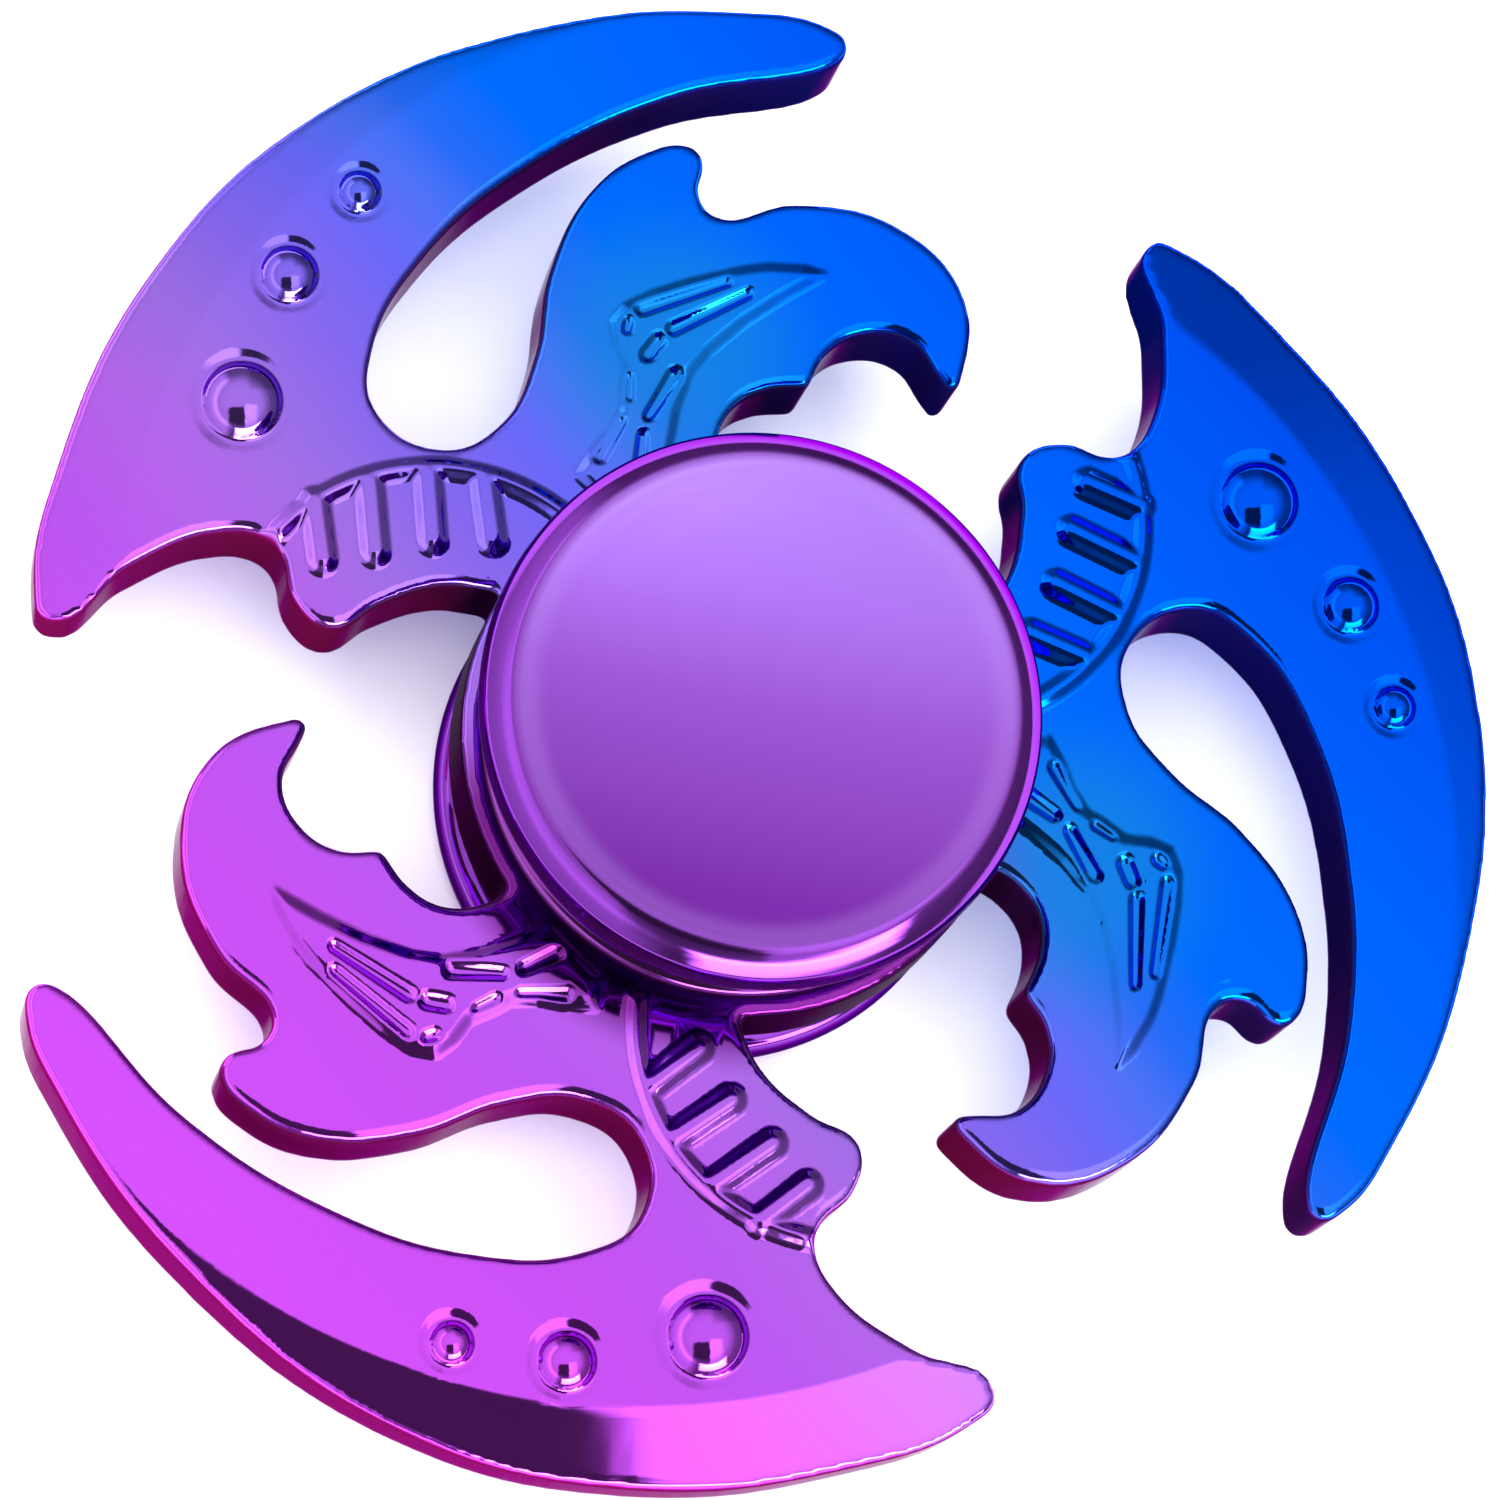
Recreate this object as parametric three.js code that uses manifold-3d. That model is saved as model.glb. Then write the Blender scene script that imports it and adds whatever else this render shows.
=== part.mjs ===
// A three-armed hand spinner: one cast rotor with three axe-and-wing arms, a deep-groove ball bearing
// in its hub, and a dished finger cap on each side.
// Millimetres, +Z up. The origin is on the spin axis, in the middle of the bearing's width.
import * as THREE from 'three';
import { mergeVertices } from 'three/addons/utils/BufferGeometryUtils.js';
import Module from 'manifold-3d';

const wasm = await Module();
wasm.setup();

// ---------------------------------------------------------------- driving dimensions
const arms = 3;
const armHalf = 2.9;            // half the thickness of the casting's arms
const edgeDrop = 0.4;           // height of the broken edge round every outline
const edgeGrow = 0.34;          // how far the wall stands out past the face edge
const reliefRise = 0.5;         // combs and wing relief stand this far off the arm
const cuttingSlope = 0.3;       // fall of the blade's cutting bevel per millimetre of width
const cuttingStart = 34.3;      // radius at which the cutting bevel begins, about its own axis
const cuttingAxis = new THREE.Vector2(3.8, 3.8);

const hubRadius = 13.8;
const hubStepRadius = 12.9;     // raised ring round the bearing
const hubHalf = 3.5;            // the raised ring is as wide as the bearing
const chamfer = 0.3;

const bearingWidth = 7;
const bearingOuter = 11;        // outer radius of the bearing
const bearingBore = 4;          // radius of the bearing's bore
const ballRadius = 1.9845;
const pitchRadius = 7.5;
const ballCount = 7;
const raceGap = 0.06;           // running clearance between ball and race
const fitGap = 0.05;            // radial gap where one turned piece sits in another
const outerShoulder = 8.7;
const innerShoulder = 6.2;

const capRadius = 13.7;
const capTop = 11.2;            // height of the cap's rim above the middle plane
const capLip = 8.0;             // height of the lower edge of the cap's rim
const dishRadius = 11.9;
const dishDepth = 1.3;
const neckRadius = 5.7;
const washerThickness = 0.5;
const stubRadius = 3.9;
const studRadius = 1.9;

const ringSegments = 40;

// ---------------------------------------------------------------- helpers
const point = (x, y) => new THREE.Vector2(x, y);
const points = (pairs) => pairs.map(([x, y]) => point(x, y));

function solid(geometry) {
  const bare = geometry.index ? geometry.clone() : geometry;
  bare.deleteAttribute('normal');
  bare.deleteAttribute('uv');
  const merged = mergeVertices(bare, 1e-4);
  return new wasm.Manifold(new wasm.Mesh({
    numProp: 3,
    vertProperties: new Float32Array(merged.attributes.position.array),
    triVerts: new Uint32Array(merged.index.array),
  }));
}

function surface(manifold) {
  const mesh = manifold.getMesh();
  const geometry = new THREE.BufferGeometry();
  geometry.setAttribute('position', new THREE.BufferAttribute(new Float32Array(mesh.vertProperties), 3));
  geometry.setIndex(new THREE.BufferAttribute(new Uint32Array(mesh.triVerts), 1));
  geometry.computeVertexNormals();
  return geometry;
}

// A turned piece: profile points are [radius, height], run anticlockwise round the section.
function turned(profile, segments = ringSegments) {
  const closed = profile[0][0] > 0 ? [...profile, profile[0]] : profile;
  const lathe = new THREE.LatheGeometry(points(closed), segments);
  lathe.rotateX(Math.PI / 2);
  return solid(lathe);
}

const mirrored = (profile) => profile.map(([r, z]) => [r, -z]).reverse();

function plate(shape, bottom, top, curveSegments = 2) {
  const geometry = new THREE.ExtrudeGeometry(shape, { depth: top - bottom, bevelEnabled: false, curveSegments });
  geometry.translate(0, 0, bottom);
  return solid(geometry);
}

// A straight bar with round ends, wider at one end if the two radii differ.
function bar(from, to, startRadius, endRadius = startRadius) {
  const angle = Math.atan2(to.y - from.y, to.x - from.x);
  const shape = new THREE.Shape();
  shape.absarc(from.x, from.y, startRadius, angle + Math.PI / 2, angle + 1.5 * Math.PI, false);
  shape.absarc(to.x, to.y, endRadius, angle - Math.PI / 2, angle + Math.PI / 2, false);
  return shape;
}

// ---------------------------------------------------------------- the casting
// Outline of one arm: crescent blade, ribbed collar, and wing with a hooked end.
function armOutline() {
  const outline = new THREE.Shape();
  outline.moveTo(-33.2, 6.9);
  outline.quadraticCurveTo(-34.1, 6.9, -33.9, 8.4);
  outline.splineThru(points([[-32.9, 14], [-28.1, 24], [-20, 32], [-8, 36.8], [2, 37.6], [6, 36.9]]));
  outline.quadraticCurveTo(7.4, 36.3, 6.3, 35.2);
  outline.splineThru(points([[-2, 33.5], [-9.5, 29.8], [-15, 25], [-17.8, 20], [-17.7, 16.7], [-14.3, 14.6]]));
  outline.splineThru(points([[-11.1, 16], [-9.2, 19.6], [-8.3, 24], [-6, 28.3], [-3.2, 30.2], [-1.4, 30.5]]));
  outline.quadraticCurveTo(-0.6, 30.6, -0.8, 29.8);
  outline.splineThru(points([[-1.1, 28], [-0.1, 26.7]]));
  outline.splineThru(points([[4, 27.45], [9, 26.4], [12.2, 22.8], [11.9, 18.9]]));
  outline.quadraticCurveTo(11.6, 17.9, 11.2, 18.6);
  outline.splineThru(points([[9.8, 20.7], [7.3, 21.2], [5.1, 20.1], [4.1, 18.4]]));
  outline.splineThru(points([[2, 18.2], [0.2, 17.2], [-0.75, 15.3], [-0.8, 13.6]]));
  outline.lineTo(-1, 11.5);
  outline.lineTo(-9.2, 7.2);
  outline.lineTo(-11.8, 7.8);
  outline.splineThru(points([[-14.5, 8.1], [-17.8, 7.1], [-20, 5.95], [-21.6, 7.3], [-22.05, 9.4], [-22.9, 10.45]]));
  outline.splineThru(points([[-25.5, 10.8], [-30, 9], [-33.2, 6.9]]));
  return outline;
}

function armPlate() {
  const geometry = new THREE.ExtrudeGeometry(armOutline(), {
    depth: 2 * (armHalf - edgeDrop),
    bevelThickness: edgeDrop,
    bevelSize: edgeGrow,
    bevelOffset: -0.12,
    bevelSegments: 1,
    curveSegments: 2,
  });
  geometry.translate(0, 0, -(armHalf - edgeDrop));
  const lift = 0.3;
  const reach = 41;
  const fall = (radius) => armHalf - (radius - cuttingStart) * cuttingSlope;
  const innerRadius = cuttingStart - lift / cuttingSlope;
  const upper = [[reach, fall(reach)], [innerRadius, armHalf + lift], [0, armHalf + lift]];
  const limits = turned([...mirrored(upper), ...upper], 48);
  return solid(geometry).intersect(limits.translate([cuttingAxis.x, cuttingAxis.y, 0]));
}

// Three round bosses of falling size, each in a shallow round moat.
const bosses = [
  { at: [-24.1, 17.2], boss: 2.05, moat: 2.65 },
  { at: [-21.6, 23.7], boss: 1.45, moat: 1.9 },
  { at: [-18.0, 28.0], boss: 1.1, moat: 1.6 },
];
const moatDepth = 0.35;
const bossRise = 0.55;

// Half of a boss: a shaft that sinks into the arm, with a round crown.
function bossProfile(boss) {
  const height = moatDepth + bossRise;
  const crownRadius = (boss * boss + height * height) / (2 * height);
  const centre = armHalf + bossRise - crownRadius;
  const profile = [[0, armHalf - 1], [boss, armHalf - 1]];
  const rings = 2;
  for (let ring = 0; ring < rings; ring += 1) {
    const radius = boss * Math.cos((Math.PI / 2) * (ring / rings));
    profile.push([radius, centre + Math.sqrt(crownRadius * crownRadius - radius * radius)]);
  }
  profile.push([0, armHalf + bossRise]);
  return profile;
}

function withBosses(arm) {
  let result = arm;
  for (const { at, boss, moat } of bosses) {
    const place = [at[0], at[1], 0];
    const low = armHalf - moatDepth;
    const ring = turned([[0, low], [moat - 0.2, low], [moat, armHalf + 0.1], [0, armHalf + 0.1]], 12);
    const crown = turned(bossProfile(boss), 10);
    for (const side of [1, -1]) {
      const face = side > 0 ? ring : ring.mirror([0, 0, 1]);
      const dome = side > 0 ? crown : crown.mirror([0, 0, 1]);
      result = result.subtract(face.translate(place)).add(dome.translate(place));
    }
  }
  return result;
}

// A raised band along the collar's arc, with four fingers that point away from the blade.
function comb() {
  const arcCentre = point(-15, 3.3);
  const outerArc = 10.8;
  const innerArc = 9.6;
  const start = 0.77 * Math.PI;
  const end = 0.3 * Math.PI;
  const band = new THREE.Shape();
  band.absarc(arcCentre.x, arcCentre.y, outerArc, start, end, true);
  band.absarc(arcCentre.x, arcCentre.y, innerArc, end, start, false);
  const fingers = [
    bar(point(-20.9, 11.4), point(-20.5, 9.2), 0.72),
    bar(point(-18.1, 12.6), point(-17.8, 9.7), 0.72),
    bar(point(-15.2, 13), point(-15, 10.2), 0.72),
    bar(point(-12.3, 12.7), point(-12, 10.2), 0.72),
  ];
  let result = plate(band, armHalf - 0.2, armHalf + reliefRise, 6);
  for (const finger of fingers) {
    result = result.add(plate(finger, armHalf - 0.2, armHalf + reliefRise));
  }
  return result;
}

// The wing's bones: three raised prongs from one knuckle, with slots and hollows between them.
function wingRelief() {
  const outline = new THREE.Shape();
  outline.moveTo(5.2, 23.4);
  outline.lineTo(4.6, 24);
  outline.splineThru(points([[1, 24.2], [-3.2, 22.9], [-5.9, 21.5]]));
  outline.splineThru(points([[-5.7, 19.6], [-5.8, 17], [-7.6, 14.4]]));
  outline.lineTo(-6.4, 12.9);
  outline.lineTo(-3.2, 13.7);
  outline.splineThru(points([[-2.3, 16.8], [-0.6, 19.6], [2, 22.1], [5.2, 23.4]]));
  const openings = [
    bar(point(-3.2, 21.9), point(0.3, 23.3), 0.24),
    bar(point(-2.3, 20.8), point(1.4, 22.8), 0.28),
    bar(point(-4.5, 20.1), point(-3.8, 20.6), 0.55),
    bar(point(-2.6, 18.6), point(-4.2, 16.9), 0.5, 0.28),
    bar(point(-5.1, 16.9), point(-5.6, 15.8), 0.3),
  ];
  let result = plate(outline, armHalf - 0.2, armHalf + reliefRise);
  for (const opening of openings) {
    result = result.subtract(plate(opening, armHalf, armHalf + reliefRise + 1));
  }
  return result;
}

function castingSolid() {
  const faceRelief = comb().add(wingRelief());
  const arm = withBosses(armPlate()).add(faceRelief).add(faceRelief.mirror([0, 0, 1]));
  const upperHub = [
    [hubRadius - chamfer, armHalf],
    [hubStepRadius, armHalf],
    [hubStepRadius, hubHalf - chamfer],
    [hubStepRadius - chamfer, hubHalf],
    [0, hubHalf],
  ];
  const rim = [[hubRadius, -armHalf + chamfer], [hubRadius, armHalf - chamfer]];
  let casting = turned([...mirrored(upperHub), ...rim, ...upperHub]);
  for (let index = 0; index < arms; index += 1) {
    casting = casting.add(arm.rotate([0, 0, (-360 / arms) * index]));
  }
  const bore = bearingOuter + fitGap;
  const recess = turned([[0, -5], [bore, -5], [bore, 5], [0, 5]]);
  const clearance = turned([[0, hubHalf], [hubRadius + 2, hubHalf], [hubRadius + 2, 6], [0, 6]]);
  return casting.subtract(recess).subtract(clearance).subtract(clearance.mirror([0, 0, 1]));
}

// ---------------------------------------------------------------- the ball bearing
const half = bearingWidth / 2;
const shieldSeat = 9.35;        // radius of the recess that holds each shield
const shieldLow = 2.75;         // inner face of the shields
const shieldThick = 0.3;

// Section of a race groove: an arc round the pitch circle, a little larger than the ball.
function groove(shoulder, outwards) {
  const radius = ballRadius + raceGap;
  const rise = Math.abs(shoulder - pitchRadius);
  const reach = Math.acos(rise / radius);
  const steps = 5;
  const arc = [];
  for (let step = 0; step <= steps; step += 1) {
    const angle = -reach + (2 * reach * step) / steps;
    arc.push([pitchRadius + outwards * radius * Math.cos(angle), radius * Math.sin(angle)]);
  }
  return arc;
}

function outerRing() {
  const upper = [
    [bearingOuter, half - chamfer],
    [bearingOuter - chamfer, half],
    [shieldSeat, half],
    [shieldSeat, shieldLow - 0.1],
    [outerShoulder, shieldLow - 0.1],
  ];
  return turned([...upper, ...groove(outerShoulder, 1).reverse(), ...mirrored(upper)]);
}

function innerRing() {
  const upper = [[innerShoulder, half], [bearingBore + chamfer, half], [bearingBore, half - chamfer]];
  return turned([...groove(innerShoulder, -1), ...upper, ...mirrored(upper)], 32);
}

const ballPlace = (index, radius = pitchRadius) => {
  const angle = (2 * Math.PI * index) / ballCount;
  return [radius * Math.cos(angle), radius * Math.sin(angle), 0];
};

// One half of the pressed ribbon cage: a flat ring with a cup over each ball.
function cageHalf() {
  const inner = 6.95;
  const outer = 8.05;
  const sheet = 0.3;
  const pocket = ballRadius + 0.1;
  const split = 0.04;
  const slice = turned([[inner, split], [outer, split], [outer, 4], [inner, 4]], 42);
  let cage = turned([[inner, split], [outer, split], [outer, split + sheet], [inner, split + sheet]], 42);
  const balls = [];
  for (let index = 0; index < ballCount; index += 1) {
    const cup = new THREE.SphereGeometry(pocket + sheet, 10, 8);
    cup.translate(...ballPlace(index));
    cage = cage.add(solid(cup).intersect(slice));
    const room = new THREE.SphereGeometry(pocket, 10, 8);
    room.translate(...ballPlace(index));
    balls.push(solid(room));
  }
  for (let index = 0; index < ballCount; index += 1) {
    const rivet = new THREE.CylinderGeometry(0.3, 0.4, 0.3, 8);
    rivet.rotateX(Math.PI / 2);
    const [x, y] = ballPlace(index + 0.5);
    rivet.translate(x, y, split + sheet + 0.1);
    cage = cage.add(solid(rivet));
  }
  for (const room of balls) {
    cage = cage.subtract(room);
  }
  return cage;
}

function shield() {
  const rim = shieldSeat - fitGap;
  const inner = innerShoulder + 0.2;
  const low = shieldLow;
  const high = shieldLow + shieldThick;
  return turned([[inner, low], [rim, low], [rim, high], [inner, high]], 42);
}

// Split wire ring that holds a shield in its recess.
function snapRing() {
  const gap = 0.12;
  const shape = new THREE.Shape();
  const outer = shieldSeat - fitGap;
  const inner = outer - 0.45;
  shape.absarc(0, 0, outer, gap, 2 * Math.PI - gap, false);
  shape.absarc(0, 0, inner, 2 * Math.PI - gap, gap, true);
  return plate(shape, shieldLow + shieldThick + 0.04, half - 0.08, 14);
}

// ---------------------------------------------------------------- caps and centre
// A dished cap with a neck that bears on the inner ring and a stub that fills half the bore.
function cap() {
  const dish = [];
  const steps = 4;
  for (let step = 0; step <= steps; step += 1) {
    const share = step / steps;
    dish.push([dishRadius * (1 - share) + 2 * share, capTop - dishDepth * (1 - (1 - share) ** 2)]);
  }
  const floor = capTop - dishDepth;
  const seat = half + washerThickness;
  const bore = studRadius + 0.15;
  return turned([
    [bore, 0.2],
    [stubRadius, 0.2],
    [stubRadius, seat + 0.1],
    [neckRadius, seat + 0.1],
    [neckRadius, capLip - 2.1],
    [neckRadius + 1.4, capLip - 1.2],
    [capRadius - 0.9, capLip - 0.6],
    [capRadius - 0.2, capLip - 0.3],
    [capRadius, capLip],
    [capRadius, capTop - 1.7],
    [capRadius - 0.75, capTop - 0.3],
    [capRadius - 1.2, capTop],
    ...dish,
    [0, floor],
    [0, floor - 1.4],
    [bore, floor - 1.4],
    [bore, 0.2],
  ]);
}

function washer() {
  const low = half + 0.04;
  const high = half + washerThickness;
  const inner = stubRadius + 0.15;
  return turned([[inner, low], [neckRadius, low], [neckRadius, high], [inner, high]], 32);
}

function stud() {
  const end = 8.2;
  const upper = [[studRadius, end - 0.4], [studRadius - 0.4, end], [0, end]];
  return turned([...mirrored(upper), ...upper], 24);
}

// ---------------------------------------------------------------- the scene
const plated = new THREE.MeshStandardMaterial({ color: 0x6a4ae0, roughness: 0.12, metalness: 1 });
const platedCap = new THREE.MeshStandardMaterial({ color: 0x8a3fc4, roughness: 0.28, metalness: 1 });
const bearingSteel = new THREE.MeshStandardMaterial({ color: 0xb9bcc2, roughness: 0.22, metalness: 1 });
const ballSteel = new THREE.MeshStandardMaterial({ color: 0xd6d8dc, roughness: 0.08, metalness: 1 });
const sheetSteel = new THREE.MeshStandardMaterial({ color: 0xa6a9ad, roughness: 0.4, metalness: 1 });
const zincSteel = new THREE.MeshStandardMaterial({ color: 0x8f949b, roughness: 0.35, metalness: 1 });

const spinner = new THREE.Group();

function addPiece(name, manifold, material, parent = spinner) {
  const mesh = new THREE.Mesh(surface(manifold), material);
  mesh.name = name;
  parent.add(mesh);
  return mesh;
}

const rotor = new THREE.Group();
addPiece('rotor_casting', castingSolid(), plated, rotor);
addPiece('bearing_outer_ring', outerRing(), bearingSteel, rotor);
addPiece('upper_shield', shield(), sheetSteel, rotor);
addPiece('lower_shield', shield().mirror([0, 0, 1]), sheetSteel, rotor);
addPiece('upper_snap_ring', snapRing(), zincSteel, rotor);
addPiece('lower_snap_ring', snapRing().mirror([0, 0, 1]), zincSteel, rotor);
spinner.add(rotor);

const cage = new THREE.Group();
addPiece('upper_cage_half', cageHalf(), sheetSteel, cage);
addPiece('lower_cage_half', cageHalf().mirror([0, 0, 1]), sheetSteel, cage);
for (let index = 0; index < ballCount; index += 1) {
  const ball = solid(new THREE.SphereGeometry(ballRadius, 12, 9).rotateX(Math.PI / 2));
  addPiece(`ball_${index + 1}`, ball, ballSteel, cage).position.set(...ballPlace(index));
}
spinner.add(cage);

const grip = new THREE.Group();
addPiece('bearing_inner_ring', innerRing(), bearingSteel, grip);
addPiece('top_cap', cap(), platedCap, grip);
addPiece('bottom_cap', cap().mirror([0, 0, 1]), platedCap, grip);
addPiece('upper_washer', washer(), zincSteel, grip);
addPiece('lower_washer', washer().mirror([0, 0, 1]), zincSteel, grip);
addPiece('centre_stud', stud(), zincSteel, grip);
spinner.add(grip);

export default spinner;
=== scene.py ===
import math
import bpy
import numpy as np
from mathutils import Matrix, Vector


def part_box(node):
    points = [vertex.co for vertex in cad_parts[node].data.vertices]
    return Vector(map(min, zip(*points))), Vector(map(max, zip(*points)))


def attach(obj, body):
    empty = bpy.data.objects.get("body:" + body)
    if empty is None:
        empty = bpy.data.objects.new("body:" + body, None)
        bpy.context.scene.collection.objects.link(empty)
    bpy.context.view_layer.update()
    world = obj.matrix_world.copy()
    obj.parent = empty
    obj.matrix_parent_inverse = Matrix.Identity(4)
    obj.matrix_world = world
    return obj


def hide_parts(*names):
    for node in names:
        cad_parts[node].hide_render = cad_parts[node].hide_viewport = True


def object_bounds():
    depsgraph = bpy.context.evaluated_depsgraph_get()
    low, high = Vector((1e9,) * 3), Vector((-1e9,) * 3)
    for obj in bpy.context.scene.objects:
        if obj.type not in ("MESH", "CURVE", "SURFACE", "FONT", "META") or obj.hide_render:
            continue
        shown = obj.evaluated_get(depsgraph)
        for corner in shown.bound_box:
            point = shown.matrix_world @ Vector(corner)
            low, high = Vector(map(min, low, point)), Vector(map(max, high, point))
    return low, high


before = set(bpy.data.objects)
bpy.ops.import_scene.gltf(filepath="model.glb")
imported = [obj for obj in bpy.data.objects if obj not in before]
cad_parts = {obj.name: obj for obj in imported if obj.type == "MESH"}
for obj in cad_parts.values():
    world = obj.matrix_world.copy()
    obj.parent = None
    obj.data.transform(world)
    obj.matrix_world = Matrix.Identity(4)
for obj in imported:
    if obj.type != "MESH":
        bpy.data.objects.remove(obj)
cad_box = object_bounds()
bpy.ops.object.select_all(action="DESELECT")
mm = 0.001

# ---------------------------------------------------------------------------
# Rotor casting. One zinc casting: three arms round a hub flange, each an axe
# blade, a hooked wing and a ribbed panel, with the same relief on both faces.
# Tumbled smooth, then plated in colours that run from magenta to blue.
# ---------------------------------------------------------------------------
arms = 3
arm_face = 2.9
edge_round = 0.42
hub_radius = 13.8
hub_bore = 12.2
cutting_axis = (3.8, 3.8)
cutting_start = 34.3
cutting_slope = 0.3
grinder_radius = 46
grinder_top = 6
voxel = 0.23
arm_corners = [
    (-33.7, 6.6), (-34.1, 7.9), (-32.9, 14), (-28.1, 24), (-20, 32), (-8, 36.8), (2, 37.6),
    (6.0, 36.9), (6.85, 36.1), (6.2, 35.3),
    (-2, 33.5), (-9.5, 29.8), (-15, 25), (-17.8, 20), (-17.7, 16.7), (-14.3, 14.6),
    (-11.1, 16), (-9.2, 19.6), (-8.3, 24), (-6, 28.3), (-3.2, 30.2), (-1.4, 30.5), (-0.85, 30.0),
    (-1.15, 28.2), (-0.2, 26.8),
    (4, 27.45), (9, 26.4), (12.2, 22.8), (11.9, 18.9), (11.55, 18.3), (11.2, 18.7),
    (9.8, 20.7), (7.3, 21.2), (5.1, 20.1), (4.1, 18.4, "VECTOR"),
    (2, 18.2), (0.2, 17.2), (-0.75, 15.3), (-0.8, 13.4, "VECTOR"), (-1, 11.5, "VECTOR"),
    (-9.2, 7.2, "VECTOR"), (-11.8, 7.8, "VECTOR"),
    (-14.5, 8.1), (-17.8, 7.1), (-20, 5.95), (-21.6, 7.3), (-22.05, 9.4), (-22.9, 10.45),
    (-25.5, 10.8), (-30, 9),
]


def drawn(corners, dimensions, closed=True):
    """A curve through (x, y) or (x, z) points in mm; a third item VECTOR makes that point a corner."""
    bpy.ops.curve.primitive_bezier_curve_add(location=(0, 0, 0))
    curve = bpy.context.object
    curve.data.dimensions = dimensions
    spline = curve.data.splines[0]
    spline.bezier_points.add(len(corners) - 2)
    spline.use_cyclic_u = closed
    for knot, corner in zip(spline.bezier_points, corners):
        kind = corner[2] if len(corner) > 2 else "AUTO"
        flat = dimensions == "2D"
        knot.co = (corner[0] * mm, corner[1] * mm if flat else 0, 0 if flat else corner[1] * mm)
        knot.handle_left_type = kind
        knot.handle_right_type = kind
    return curve


def select_only(*pieces):
    bpy.ops.object.select_all(action="DESELECT")
    for piece in pieces:
        piece.select_set(True)
    bpy.context.view_layer.objects.active = pieces[0]


def apply_modifier(piece, kind, **settings):
    select_only(piece)
    modifier = piece.modifiers.new(kind.lower(), kind)
    for key, value in settings.items():
        setattr(modifier, key, value)
    bpy.ops.object.modifier_apply(modifier=modifier.name)


def turned(name, profile, steps=128):
    """A piece turned from a profile of (radius, height) points in mm, closed or ending on the axis."""
    curve = drawn(profile, "3D", closed=profile[0][0] > 0)
    curve.data.resolution_u = 6
    bpy.ops.object.convert(target="MESH")
    piece = bpy.context.object
    piece.name = name
    bpy.ops.object.mode_set(mode="EDIT")
    bpy.ops.mesh.select_all(action="SELECT")
    bpy.ops.mesh.remove_doubles(threshold=0.002 * mm)
    bpy.ops.mesh.spin(steps=steps, angle=2 * math.pi, center=(0, 0, 0), axis=(0, 0, 1))
    bpy.ops.mesh.select_all(action="SELECT")
    bpy.ops.mesh.remove_doubles(threshold=0.002 * mm)
    bpy.ops.mesh.normals_make_consistent(inside=False)
    bpy.ops.object.mode_set(mode="OBJECT")
    bpy.ops.object.shade_smooth_by_angle(angle=math.radians(32))
    return piece


blank = drawn(arm_corners, "2D")
blank.data.fill_mode = "BOTH"
blank.data.resolution_u = 10
blank.data.extrude = (arm_face - edge_round) * mm
blank.data.bevel_depth = edge_round * mm
blank.data.bevel_resolution = 2
blank.data.offset = -0.4 * edge_round * mm
bpy.ops.object.convert(target="MESH")
casting = bpy.context.object
casting.name = "plated_casting"
bpy.ops.object.mode_set(mode="EDIT")
bpy.ops.mesh.select_all(action="SELECT")
bpy.ops.mesh.remove_doubles(threshold=0.002 * mm)
bpy.ops.mesh.normals_make_consistent(inside=False)
bpy.ops.object.mode_set(mode="OBJECT")
for flip in (0, math.pi):
    grinder = turned("grinder", [
        (cutting_start - 1, arm_face + cutting_slope, "VECTOR"),
        (grinder_radius, arm_face - cutting_slope * (grinder_radius - cutting_start), "VECTOR"),
        (grinder_radius, grinder_top, "VECTOR"), (cutting_start - 1, grinder_top, "VECTOR"),
    ], 180)
    grinder.data.transform(Matrix.Rotation(flip, 4, "X"))
    grinder.data.transform(Matrix.Translation((cutting_axis[0] * mm, cutting_axis[1] * mm, 0)))
    apply_modifier(casting, "BOOLEAN", operation="DIFFERENCE", object=grinder)
    bpy.data.objects.remove(grinder)
copies = []
for index in range(1, arms):
    select_only(casting)
    bpy.ops.object.duplicate()
    copies.append(bpy.context.object)
    copies[-1].data.transform(Matrix.Rotation(-2 * math.pi * index / arms, 4, "Z"))
bpy.ops.mesh.primitive_cylinder_add(vertices=160, radius=hub_radius * mm, depth=2 * arm_face * mm)
flange = bpy.context.object
select_only(casting, *copies, flange)
bpy.ops.object.join()
apply_modifier(casting, "REMESH", mode="VOXEL", voxel_size=voxel * mm)
bpy.ops.mesh.primitive_cylinder_add(vertices=160, radius=hub_bore * mm, depth=12 * mm)
core = bpy.context.object
apply_modifier(casting, "BOOLEAN", operation="DIFFERENCE", object=core)
bpy.data.objects.remove(core)
apply_modifier(casting, "SMOOTH", factor=0.5, iterations=10)

# Domed bosses, each in a shallow moat: centre, radius, and the moat's radius.
bosses = [((-24.1, 17.2), 2.0, 2.85), ((-21.6, 23.7), 1.45, 2.15), ((-18.0, 28.0), 1.08, 1.75)]
dome_rise = 0.76
moat_depth = 0.19

# The ribbed collar: straight ribs that hang from a curved band, all of one height.
ribs = [
    ((-20.7, 12.0), (-20.4, 9.1)),
    ((-18.0, 13.0), (-17.8, 9.5)),
    ((-15.1, 13.4), (-14.95, 10.1)),
    ((-12.3, 13.0), (-12.0, 10.1)),
]
rib_half_width = 0.62
band_centre = (-15, 3.3)
band_radius = 10.45
band_half_width = 0.35
band_start, band_end = 50, 138
collar_height = 0.5
collar_middle = (-16, 11.4)
collar_reach = 8.3

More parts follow.
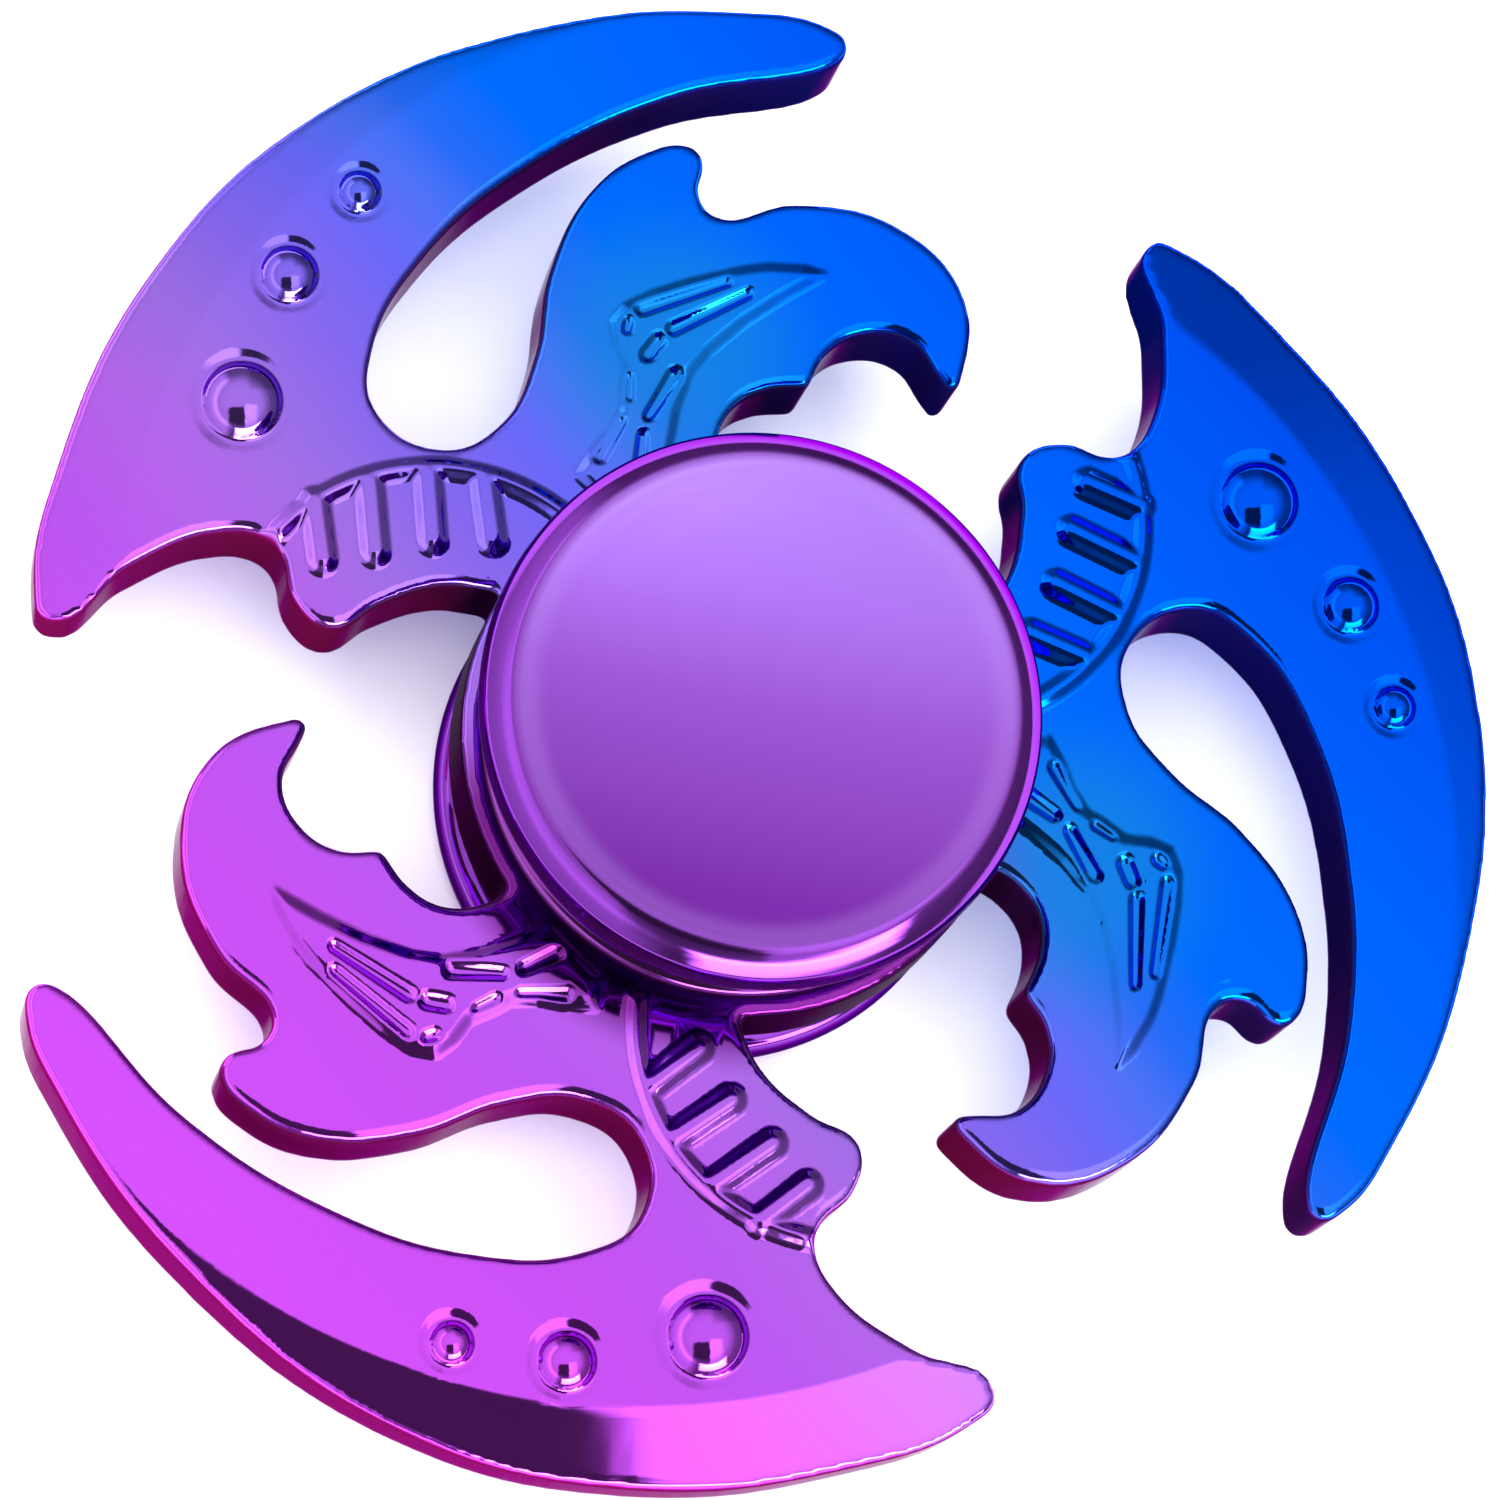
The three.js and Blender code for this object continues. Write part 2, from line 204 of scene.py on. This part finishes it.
wing_panel = [
    (5.2, 23.85), (4.2, 24.2), (2.4, 24.3), (1.2, 24.15), (-1.5, 23.5), (-3.4, 22.9), (-4.9, 22.2),
    (-5.7, 21.3), (-5.6, 20.2), (-5.1, 19.0), (-5.3, 17.6), (-5.3, 16.8), (-6.0, 15.6), (-6.9, 14.6),
    (-7.7, 13.4), (-6.6, 12.4), (-3.2, 13.2), (-2.9, 15), (-2.5, 16.8), (-1.8, 18.6), (-0.8, 19.8),
    (1.0, 21.3), (3.0, 22.6),
]
# Grooves sunk into the wing panel: start, end, half width at the start and at the end.
grooves = [
    ((-4.1, 21.9), (0.3, 23.4), 0.34, 0.24), ((-2.6, 20.9), (1.3, 22.8), 0.36, 0.26),
    ((-3.9, 19.6), (-3.3, 20.3), 0.42, 0.42), ((-4.9, 20.9), (-4.8, 21.3), 0.3, 0.26),
    ((-4.0, 16.4), (-2.6, 18.5), 0.28, 0.42), ((-4.8, 18.5), (-4.9, 17.4), 0.16, 0.24),
    ((-5.3, 16.2), (-6.5, 14.3), 0.24, 0.36), ((-4.3, 15.4), (-4.5, 13.6), 0.3, 0.4),
]
panel_rise = 0.42
groove_depth = 0.34
relief_start = 12.8
triangle_limit = 188000


def step(value, low, high):
    share = np.clip((value - low) / (high - low), 0, 1)
    return share * share * (3 - 2 * share)


def bar_distance(x, y, start, end):
    """Distance to the line between two points, and the share of the way along it."""
    dx, dy = end[0] - start[0], end[1] - start[1]
    along = np.clip(((x - start[0]) * dx + (y - start[1]) * dy) / (dx * dx + dy * dy), 0, 1)
    return np.hypot(x - start[0] - along * dx, y - start[1] - along * dy), along


def inside_distance(x, y, outline):
    """Distance to a closed outline, positive inside it."""
    nearest = np.full_like(x, 99.0)
    inside = np.zeros(x.shape, bool)
    for start, end in zip(outline, outline[1:] + outline[:1]):
        nearest = np.minimum(nearest, bar_distance(x, y, start, end)[0])
        crosses = (start[1] > y) != (end[1] > y)
        reach = start[0] + (y - start[1]) * (end[0] - start[0]) / (end[1] - start[1] + 1e-9)
        inside ^= crosses & (x < reach)
    return np.where(inside, nearest, -nearest)


def relief(x, y):
    """Height of one arm's relief over the flat face, in mm, at points in that arm's own frame."""
    rise = np.zeros_like(x)
    for (bx, by), boss, moat in bosses:
        away = np.hypot(x - bx, y - by)
        rise -= moat_depth * (1 - step(away, boss + 0.05, moat))
        rise += dome_rise * boss ** 0.5 * np.clip(1 - (away / boss) ** 2, 0, 1) ** 0.72
    comb = np.full_like(x, 9.0)
    for start, end in ribs:
        comb = np.minimum(comb, bar_distance(x, y, start, end)[0] - rib_half_width)
    radius = np.hypot(x - band_centre[0], y - band_centre[1])
    angle = np.degrees(np.arctan2(y - band_centre[1], x - band_centre[0]))
    past_ends = np.maximum(band_start - angle, angle - band_end) * 0.19
    band = np.maximum(np.abs(radius - band_radius) - band_half_width, past_ends)
    comb = np.minimum(comb, band)
    rise += collar_height * (1 - step(comb, -0.5, 0.38))
    inside = inside_distance(x, y, wing_panel)
    panel = panel_rise * step(inside, -0.4, 0.55)
    for start, end, first, last in grooves:
        away, along = bar_distance(x, y, start, end)
        width = first + (last - first) * along
        panel -= groove_depth * (1 - step(away / width, 0.3, 1.4)) * step(inside, 0, 0.4)
    return rise + panel


def detailed(x, y):
    """True where an arm's relief needs a finer mesh."""
    near = np.hypot(x - collar_middle[0], y - collar_middle[1]) < collar_reach
    near |= inside_distance(x, y, wing_panel) > -0.6
    for (bx, by), boss, moat in bosses:
        near |= np.hypot(x - bx, y - by) < moat + 0.8
    return near


def arm_frames(x, y):
    """The same points seen from each arm's own frame."""
    for index in range(arms):
        angle = 2 * math.pi * index / arms
        yield x * math.cos(angle) - y * math.sin(angle), x * math.sin(angle) + y * math.cos(angle)


def read_points(source, attribute, count):
    values = np.empty(count * 3)
    source.foreach_get(attribute, values)
    return values.reshape(-1, 3) / mm


# Finer faces where the relief goes.
mesh = casting.data
select_only(casting)
bpy.ops.object.mode_set(mode="EDIT")
bpy.ops.mesh.select_mode(type="FACE")
bpy.ops.mesh.select_all(action="DESELECT")
bpy.ops.object.mode_set(mode="OBJECT")
centres = read_points(mesh.polygons, "center", len(mesh.polygons))
chosen = np.zeros(len(centres), bool)
for x, y in arm_frames(centres[:, 0], centres[:, 1]):
    chosen |= detailed(x, y)
chosen &= np.abs(centres[:, 2]) > arm_face - 0.2
mesh.polygons.foreach_set("select", chosen)
bpy.ops.object.mode_set(mode="EDIT")
bpy.ops.mesh.subdivide(number_cuts=1, smoothness=0)
bpy.ops.object.mode_set(mode="OBJECT")

# Strike the relief into both faces.
places = read_points(mesh.vertices, "co", len(mesh.vertices))
side = np.sign(places[:, 2])
level = np.abs(places[:, 2])
on_face = step(level, arm_face - 0.7, arm_face - 0.1)
outside = np.hypot(places[:, 0], places[:, 1]) > relief_start
struck = np.zeros(len(level))
for x, y in arm_frames(places[:, 0], places[:, 1]):
    rise = relief(x, y) * on_face * outside
    struck = np.maximum(struck, np.abs(rise) > 0.002)
    level = level + rise
places[:, 2] = side * level
mesh.vertices.foreach_set("co", (places * mm).ravel())
mesh.update()
struck_group = casting.vertex_groups.new(name="struck")
struck_group.add([int(v) for v in np.flatnonzero(struck)], 1.0, "REPLACE")
apply_modifier(casting, "SMOOTH", factor=0.5, iterations=5, vertex_group="struck")
casting.vertex_groups.clear()
faces = sum(len(p.vertices) - 2 for p in casting.data.polygons)
apply_modifier(casting, "DECIMATE", ratio=min(1, triangle_limit / faces))

# Close the few edges that the thinning leaves shared by more than two faces.
bpy.ops.object.mode_set(mode="EDIT")
bpy.ops.mesh.select_mode(type="VERT")
bpy.ops.mesh.select_all(action="DESELECT")
bpy.ops.mesh.select_non_manifold(extend=False)
bpy.ops.mesh.merge(type="COLLAPSE")
bpy.ops.mesh.select_all(action="SELECT")
bpy.ops.mesh.dissolve_degenerate(threshold=0.001 * mm)
bpy.ops.object.mode_set(mode="OBJECT")
bpy.ops.object.shade_smooth()
apply_modifier(casting, "WEIGHTED_NORMAL", mode="FACE_AREA", weight=50)
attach(casting, "rotor")
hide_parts("rotor_casting")


class Value:
    """A number that varies over a surface; arithmetic on it adds Math nodes."""

    def __init__(self, finish, socket):
        self.finish = finish
        self.socket = socket

    def math(self, operation, first, second=0.0):
        return self.finish.node("ShaderNodeMath", {"operation": operation}, {0: first, 1: second})

    def __add__(self, other):
        return self.math("ADD", self, other)

    def __radd__(self, other):
        return self.math("ADD", other, self)

    def __sub__(self, other):
        return self.math("SUBTRACT", self, other)

    def __rsub__(self, other):
        return self.math("SUBTRACT", other, self)

    def __mul__(self, other):
        return self.math("MULTIPLY", self, other)

    def __rmul__(self, other):
        return self.math("MULTIPLY", other, self)

    def __truediv__(self, other):
        return self.math("DIVIDE", self, other)

    def __abs__(self):
        return self.math("ABSOLUTE", self)


class Finish:
    """A material or world under construction."""

    def __init__(self, owner, **sockets):
        owner.use_nodes = True
        self.owner = owner
        self.tree = owner.node_tree
        self.shader = self.tree.nodes.get("Principled BSDF") or self.tree.nodes["Background"]
        for socket, value in sockets.items():
            self.shader.inputs[socket.replace("_", " ")].default_value = value

    def node(self, kind, settings=None, sockets=None, output=0):
        node = self.tree.nodes.new(kind)
        for key, value in (settings or {}).items():
            setattr(node, key, value)
        for key, value in (sockets or {}).items():
            self.feed(node.inputs[key], value)
        return Value(self, node.outputs[output])

    def feed(self, socket, value):
        if isinstance(value, Value):
            self.tree.links.new(value.socket, socket)
        else:
            socket.default_value = value

    def surface(self, socket, value):
        self.feed(self.shader.inputs[socket], value)

    def mix(self, share, first, second):
        mixer = self.tree.nodes.new("ShaderNodeMix")
        mixer.data_type = "RGBA"
        self.feed(mixer.inputs[0], share)
        for socket, value in ((mixer.inputs[6], first), (mixer.inputs[7], second)):
            self.feed(socket, value if isinstance(value, Value) else (*value, 1))
        return Value(self, mixer.outputs[2])

    def ramp(self, value, stops):
        node = self.tree.nodes.new("ShaderNodeValToRGB")
        elements = node.color_ramp.elements
        while len(elements) < len(stops):
            elements.new(0.5)
        for element, (position, color) in zip(elements, stops):
            element.position = position
            element.color = (*color, 1)
        self.feed(node.inputs["Fac"], value)
        return Value(self, node.outputs[0])

    def rise(self, value, low, high, first=0.0, last=1.0):
        sockets = {"Value": value, "From Min": low, "From Max": high, "To Min": first, "To Max": last}
        return self.node("ShaderNodeMapRange", {"interpolation_type": "SMOOTHSTEP"}, sockets)

    def along(self, direction, source=3):
        """How far a point (or, with source 1, the surface normal) lies along a direction."""
        spot = self.node("ShaderNodeTexCoord", output=source)
        sockets = {0: spot, 1: direction}
        return self.node("ShaderNodeVectorMath", {"operation": "DOT_PRODUCT"}, sockets, output=1)

    def from_axis(self):
        """Distance from the spin axis, in metres."""
        spot = self.node("ShaderNodeTexCoord", output=3)
        flat_spot = self.node("ShaderNodeVectorMath", {"operation": "MULTIPLY"}, {0: spot, 1: (1, 1, 0)})
        return self.node("ShaderNodeVectorMath", {"operation": "LENGTH"}, {0: flat_spot}, output=1)

    def noise(self, scale, detail=3.0):
        spot = self.node("ShaderNodeTexCoord", output=3)
        return self.node("ShaderNodeTexNoise", None, {"Vector": spot, "Scale": scale, "Detail": detail})

    def bump(self, height, distance, strength=1.0):
        sockets = {"Height": height, "Distance": distance, "Strength": strength}
        self.surface("Normal", self.node("ShaderNodeBump", None, sockets))


def metal(name, **sockets):
    return Finish(bpy.data.materials.new(name), Metallic=1.0, **sockets)


plating = metal(
    "gradient_plating", Roughness=0.06, Specular_IOR_Level=0.0, Specular_Tint=(0.3, 0.05, 0.25, 1))
run = (plating.along((0.793, 0.609, 0)) + (plating.noise(60, 2) - 0.5) * 0.004) * 12.5 + 0.5
face_color = plating.ramp(run, [
    (0.05, (0.69, 0.084, 1.0)),
    (0.19, (0.59, 0.084, 0.92)),
    (0.275, (0.51, 0.10, 0.90)),
    (0.34, (0.46, 0.135, 0.84)),
    (0.40, (0.35, 0.16, 0.80)),
    (0.456, (0.24, 0.14, 0.87)),
    (0.51, (0.155, 0.14, 0.94)),
    (0.565, (0.07, 0.17, 0.94)),
    (0.595, (0.02, 0.15, 0.94)),
    (0.64, (0.0, 0.15, 1.0)),
    (0.75, (0.0, 0.125, 1.0)),
    (0.90, (0.0, 0.08, 0.90)),
])
# Painted reflection: a teal tint laid into the face colour over the wing panels of two of the arms,
# standing in for teal mirrored from the room.
for wing_x, wing_y in ((-2.5, 20), (16.5, -6.5)):
    spot = plating.node("ShaderNodeTexCoord", output=3)
    sockets = {0: spot, 1: (wing_x * mm, wing_y * mm, 0)}
    away = plating.node("ShaderNodeVectorMath", {"operation": "DISTANCE"}, sockets, output=1)
    face_color = plating.mix(plating.rise(away, 9.5 * mm, 3 * mm, 0, 0.7), face_color, (0.01, 0.25, 0.72))
# Painted shade: steep walls get a much darker copy of the plating's hue, standing in for the dark room they
# mirror.
shaded_wall_color = plating.ramp(run, [
    (0.10, (0.22, 0.008, 0.12)),
    (0.45, (0.14, 0.006, 0.08)),
    (0.62, (0.04, 0.008, 0.10)),
    (0.90, (0.0, 0.012, 0.16)),
])
# Painted shade under the cap: near the hub, faces on the near side turn a darker magenta and walls turn
# near black; the walls there also mirror less.
under_cap_shade = plating.rise(plating.from_axis(), 17 * mm, 14.5 * mm)
near_side = plating.rise(plating.along((0, 1, 0)), 2 * mm, -4 * mm)
face_color = plating.mix(under_cap_shade * near_side * plating.rise(run, 0.62, 0.5), face_color, (0.18, 0.018, 0.25))
shaded_wall_color = plating.mix(under_cap_shade, shaded_wall_color, (0.015, 0.001, 0.02))
steep = plating.rise(abs(plating.along((0, 0, 1), 1)), 0.75, 0.2)
plating.surface("Base Color", plating.mix(steep, face_color, shaded_wall_color))
plating.surface("Metallic", 1 - steep * (under_cap_shade * 0.5 + 0.35))
plating.bump(plating.noise(120, 2), 0.00004, 0.25)
casting.data.materials.clear()
casting.data.materials.append(plating.owner)


# ---------------------------------------------------------------------------
# Hub ring. The machined shoulder of the casting round the bearing, standing a
# little above the arms on both faces and plated with the rest.
# ---------------------------------------------------------------------------
def finished(piece, finish, body, slot, *nodes):
    piece.data.materials.clear()
    piece.data.materials.append(finish.owner)
    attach(piece, body)
    if nodes:
        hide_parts(*nodes)


hub_ring = turned("hub_ring", [
    (11.06, -3.5, "VECTOR"), (12.5, -3.5), (12.85, -3.3), (12.95, -2.9, "VECTOR"), (12.95, 2.9, "VECTOR"),
    (12.85, 3.3), (12.5, 3.5), (11.06, 3.5, "VECTOR"),
], 144)
hub_plating = metal(
    "hub_plating", Roughness=0.1, Specular_IOR_Level=0.0, Specular_Tint=(0.4, 0.15, 0.5, 1))
hub_flat = hub_plating.rise(abs(hub_plating.along((0, 0, 1), 1)), 0.2, 0.8)
# Violet plating on the flat faces, with painted shade: the hub ring's steep walls under the cap are near
# black.
hub_plating.surface("Base Color", hub_plating.mix(hub_flat, (0.02, 0.001, 0.03), (0.30, 0.06, 0.42)))
hub_plating.surface("Metallic", hub_flat * 0.85 + 0.15)
finished(hub_ring, hub_plating, "rotor", "casting_plating")

# ---------------------------------------------------------------------------
# Bearing. A standard 608: ground and honed rings, polished balls in a pressed
# two-half cage, and a sheet shield held by a wire ring on each side.
# ---------------------------------------------------------------------------
ring_low, ring_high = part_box("bearing_outer_ring")
outer_radius = (ring_high.x - ring_low.x) / 2 / mm
half_width = ring_high.z / mm
pitch_radius = 7.5
race_radius = 2.04
shield_seat = 9.36
shield_depth = 2.76
groove_angles = [math.radians(a) for a in (-52, -35, -18, 0, 18, 35, 52)]


def mottled(finish, scale, dark, light):
    finish.surface("Base Color", finish.ramp(finish.noise(scale), [(0.3, dark), (0.7, light)]))


steel = metal("ground_steel", Roughness=0.2)
mottled(steel, 300, (0.50, 0.51, 0.53), (0.58, 0.59, 0.61))
steel.surface("Roughness", steel.noise(900) * 0.1 + 0.14)
outer_groove = [
    (pitch_radius + race_radius * math.cos(a), race_radius * math.sin(a), "VECTOR") for a in groove_angles]
outer_ring = turned("outer_race", [
    (outer_radius, -half_width + 0.3, "VECTOR"), (outer_radius, half_width - 0.3, "VECTOR"),
    (outer_radius - 0.3, half_width, "VECTOR"), (9.5, half_width, "VECTOR"),
    (shield_seat, half_width - 0.14, "VECTOR"), (shield_seat, shield_depth, "VECTOR"),
    (outer_groove[-1][0], shield_depth, "VECTOR"), *outer_groove[::-1],
    (outer_groove[0][0], -shield_depth, "VECTOR"), (shield_seat, -shield_depth, "VECTOR"),
    (shield_seat, -half_width + 0.14, "VECTOR"), (9.5, -half_width, "VECTOR"),
    (outer_radius - 0.3, -half_width, "VECTOR"),
])
finished(outer_ring, steel, "rotor", "bearing_steel", "bearing_outer_ring")
inner_groove = [
    (pitch_radius - race_radius * math.cos(a), race_radius * math.sin(a), "VECTOR") for a in groove_angles]
inner_ring = turned("inner_race", [
    (4.0, -half_width + 0.3, "VECTOR"), (4.3, -half_width, "VECTOR"), (5.9, -half_width, "VECTOR"),
    (inner_groove[0][0], -half_width + 0.25, "VECTOR"), *inner_groove,
    (inner_groove[-1][0], half_width - 0.25, "VECTOR"), (5.9, half_width, "VECTOR"),
    (4.3, half_width, "VECTOR"), (4.0, half_width - 0.3, "VECTOR"),
])
finished(inner_ring, steel, "grip", "bearing_steel", "bearing_inner_ring")
chrome = metal("ball_chrome", Roughness=0.05)
mottled(chrome, 500, (0.70, 0.71, 0.73), (0.74, 0.75, 0.77))
for index in range(7):
    ball_low, ball_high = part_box(f"ball_{index + 1}")
    bpy.ops.mesh.primitive_uv_sphere_add(
        segments=48, ring_count=24,
        radius=(ball_high.z - ball_low.z) / 2, location=(ball_low + ball_high) / 2)
    ball = bpy.context.object
    ball.name = f"bearing_ball_{index + 1}"
    bpy.ops.object.transform_apply(location=True, rotation=True, scale=True)
    bpy.ops.object.shade_smooth()
    finished(ball, chrome, f"ball_{index + 1}_body", "ball_steel", f"ball_{index + 1}")
sheet = metal("pressed_sheet", Roughness=0.3)
mottled(sheet, 400, (0.42, 0.43, 0.45), (0.50, 0.51, 0.52))
spring = metal("spring_wire", Roughness=0.35)
mottled(spring, 400, (0.12, 0.12, 0.13), (0.17, 0.17, 0.18))
for name, finish in (("cage_half", sheet), ("shield", sheet), ("snap_ring", spring)):
    for side_name in ("upper", "lower"):
        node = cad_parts[f"{side_name}_{name}"]
        node.data.materials.clear()
        node.data.materials.append(finish.owner)

# ---------------------------------------------------------------------------
# Washers and stud. Zinc-plated steel, clamped between the caps and the
# bearing's inner ring.
# ---------------------------------------------------------------------------
zinc = metal("zinc_plate", Roughness=0.25)
mottled(zinc, 350, (0.42, 0.44, 0.48), (0.52, 0.54, 0.58))
for name in ("upper_washer", "lower_washer", "centre_stud"):
    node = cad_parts[name]
    node.data.materials.clear()
    node.data.materials.append(zinc.owner)

# ---------------------------------------------------------------------------
# Finger caps. Turned zinc, dished for a fingertip, plated violet: satin in the
# dish and glossy round the rolled rim. Each screws to the other on the stud.
# ---------------------------------------------------------------------------
cap_low, cap_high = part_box("top_cap")
cap_radius = (cap_high.x - cap_low.x) / 2 / mm
cap_top = cap_high.z / mm
crest = cap_radius - 1.5
cap_profile = [
    (2.05, 0.2, "VECTOR"), (3.9, 0.2, "VECTOR"), (3.9, 4.02, "VECTOR"), (5.7, 4.02, "VECTOR"),
    (5.7, 5.4), (6.1, 6.2), (7.4, 6.9), (10.2, 7.3), (12.2, 7.5), (13.2, 7.75), (cap_radius, 8.5),
    (cap_radius, 9.6), (cap_radius - 0.12, 10.1), (cap_radius - 0.3, 10.33), (crest + 0.5, cap_top - 0.26),
    (crest, cap_top), (crest - 0.6, cap_top - 0.05), (crest - 1.6, cap_top - 0.2), (8.4, cap_top - 0.52),
    (4.0, cap_top - 0.92), (0, cap_top - 1.05, "VECTOR"), (0, 8.5, "VECTOR"), (2.05, 8.5, "VECTOR"),
]
cap_plating = metal(
    "cap_plating", Roughness=0.3, Specular_IOR_Level=0.0, Specular_Tint=(0.35, 0.12, 0.5, 1))
from_axis = cap_plating.from_axis()
satin = cap_plating.rise(from_axis, (crest + 0.4) * mm, (crest - 0.4) * mm)
satin = satin * cap_plating.rise(abs(cap_plating.along((0, 0, 1), 1)), 0.3, 0.7)
# Violet plating on the rim, with painted shade: its steep walls are near black.
level_share = cap_plating.rise(abs(cap_plating.along((0, 0, 1), 1)), 0.1, 0.8)
rim_color_and_shade = cap_plating.mix(level_share, (0.05, 0.003, 0.08), (0.25, 0.05, 0.48))
# Violet plating in the dish, with painted shade and light: darker towards -Y, lighter towards +Y.
dish_color_and_shade = cap_plating.ramp(cap_plating.along((0.2, 0.98, 0)) / (22 * mm) + 0.5, [
    (0.05, (0.235, 0.032, 0.47)), (0.5, (0.355, 0.105, 0.69)), (0.75, (0.46, 0.19, 0.92)),
    (0.95, (0.50, 0.24, 0.98)),
])
# Painted highlight: a lighter ring just inside the crest, where the rounded edge would mirror the bright
# room.
crest_sheen = cap_plating.rise(from_axis, (crest - 1.6) * mm, (crest - 0.5) * mm) * 0.25
dish_color_and_shade = cap_plating.mix(crest_sheen, dish_color_and_shade, (0.56, 0.30, 0.95))
cap_plating.surface("Base Color", cap_plating.mix(satin, rim_color_and_shade, dish_color_and_shade))
cap_plating.surface("Metallic", cap_plating.rise(abs(cap_plating.along((0, 0, 1), 1)), 0.02, 0.3, 0.3, 1))
cap_plating.surface("Roughness", 0.08 + satin * 0.27)
cap_plating.bump(cap_plating.noise(700, 2), 0.00001, 0.3)
for name, node in (("top_finger_cap", "top_cap"), ("bottom_finger_cap", "bottom_cap")):
    cap = turned(name, cap_profile, 144)
    if node == "bottom_cap":
        cap.data.transform(Matrix.Rotation(math.pi, 4, "X"))
    finished(cap, cap_plating, "grip", "cap_plating", node)

# ---------------------------------------------------------------------------
# Floor, camera and soft studio light. The spinner lies on its lower cap on a
# pale table, seen from almost straight above through a long lens.
# ---------------------------------------------------------------------------
bpy.ops.mesh.primitive_plane_add(size=3, location=(0, 0, cad_box[0].z - 0.02 * mm))
floor = bpy.context.object
floor.name = "floor"
floor_paint = Finish(bpy.data.materials.new("floor_paint"), Base_Color=(0.9, 0.9, 0.9, 1), Roughness=0.9)
floor_paint.shader.inputs["Specular IOR Level"].default_value = 0.0
floor.data.materials.append(floor_paint.owner)

turn = Matrix.Rotation(math.radians(-0.15), 3, "Z") @ Matrix.Rotation(math.radians(13.4), 3, "X")
turn = turn @ Matrix.Rotation(math.radians(-9.8), 3, "Y")
camera = bpy.data.objects.new("camera", bpy.data.cameras.new("camera"))
camera.data.sensor_width = 36
camera.data.lens = 163
camera.data.clip_start = 0.01
bpy.context.scene.collection.objects.link(camera)
camera.rotation_euler = turn.to_euler()
camera.location = Vector((0, 0, arm_face * mm)) + turn @ Vector((0.45 * mm, -0.52 * mm, 333.6 * mm))
bpy.context.scene.camera = camera
bpy.context.scene.view_settings.view_transform = "Standard"

# The room that the plating mirrors: a bright ceiling over darker walls.
world = bpy.data.worlds.new("studio")
bpy.context.scene.world = world
sky = Finish(world)
up = sky.along((0, 0, 1), 0)
dome = sky.ramp(up, [
    (0.0, (0.22, 0.22, 0.23)),
    (0.35, (0.30, 0.30, 0.31)),
    (0.55, (0.62, 0.62, 0.63)),
    (0.70, (0.92, 0.92, 0.92)),
    (0.86, (1.0, 1.0, 1.0)),
])
spot = sky.node("ShaderNodeTexCoord", output=0)
sway = (sky.node("ShaderNodeTexNoise", None, {"Vector": spot, "Scale": 7.0, "Detail": 2.0}) - 0.5) * 0.12
across = sky.along((1, 0, 0), 0) + sway
front = sky.along((0, 1, 0), 0)

# Someone leaning in from the front, a window beside them, a grey screen behind, a light side wall.
near = sky.rise(front + sway, -0.14, -0.22)
person = near * sky.rise(across, 0.13, 0.10) * sky.rise(across, -0.55, -0.42)
person = person * sky.rise(up, 0.4, 0.7, 0.4, 1)
window = sky.rise(front, -0.02, -0.12) * sky.rise(across, 0.12, 0.15) * sky.rise(across, 0.65, 0.5)
screen = sky.rise(front, 0.42, 0.62) * sky.rise(across, 0.15, 0.4)
side_wall = sky.rise(across, -0.25, -0.5) * sky.rise(up, 0.65, 0.45)
shade = (1 - person * 0.92) * (1 + window * 0.8) * (1 - screen * 0.35) * (1 + side_wall * 2.6)

# A low bright window in front, which only steep surfaces mirror.
low_window = sky.rise(up, 0.1, 0.18) * sky.rise(up, 0.5, 0.42) * sky.rise(across, -0.25, -0.15)
low_window = low_window * sky.rise(across, 0.7, 0.6) * sky.rise(front, -0.4, -0.5)
shade = shade + low_window * 28
shaded = sky.node("ShaderNodeVectorMath", {"operation": "SCALE"}, {0: dome, "Scale": shade})
sky.surface("Color", shaded)
sky.surface("Strength", 1.0)

ceiling = bpy.data.lights.new("ceiling", "AREA")
ceiling.size = 1.2
ceiling.energy = 28
lamp = bpy.data.objects.new("ceiling", ceiling)
bpy.context.scene.collection.objects.link(lamp)
lamp.location = (0, 0, 1.2)
lamp.visible_glossy = False
